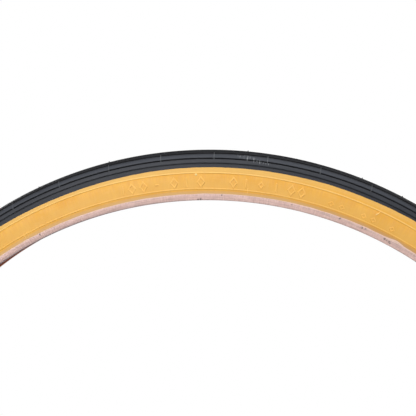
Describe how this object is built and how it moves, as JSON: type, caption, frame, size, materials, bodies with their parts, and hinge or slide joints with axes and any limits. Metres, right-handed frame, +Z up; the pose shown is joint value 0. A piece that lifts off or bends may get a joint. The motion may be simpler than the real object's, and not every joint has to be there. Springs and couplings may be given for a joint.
{
  "type": "bicycle tire",
  "caption": "Wire-bead bicycle tire off its rim, with a ribbed black tread, gum sidewalls, cord plies and woven chafers round the beads.",
  "frame": {"origin": "centre of the wheel: on the axle line, in the tire's mid-plane", "axes": "+Y along the axle, towards the rider's left; +X forwards; +Z up, with the tire upright"},
  "size_m": [0.6112, 0.036, 0.6111],
  "materials": {
    "tread_rubber": "matte moulded rubber",
    "gum_rubber": "satin moulded gum rubber",
    "cord_ply": "rubberised cord fabric",
    "bead_wire": "drawn steel wire with a thin brass coat",
    "coat_rubber": "matte",
    "sleeve_steel": "crimped steel tube",
    "filler_rubber": "matte",
    "chafer_cloth": "fine woven strip skimmed with rubber"
  },
  "bodies": {
    "root": {"inner_ply": "cord_ply", "left_bead_coat": "coat_rubber", "left_bead_filler": "filler_rubber", "left_bead_wire": "bead_wire", "left_chafer": "chafer_cloth", "left_sidewall": "gum_rubber", "left_wire_sleeve": "sleeve_steel", "outer_ply": "cord_ply", "right_bead_coat": "coat_rubber", "right_bead_filler": "filler_rubber", "right_bead_wire": "bead_wire", "right_chafer": "chafer_cloth", "right_sidewall": "gum_rubber", "right_wire_sleeve": "sleeve_steel", "tread": "tread_rubber"}
  },
  "joints": []
}
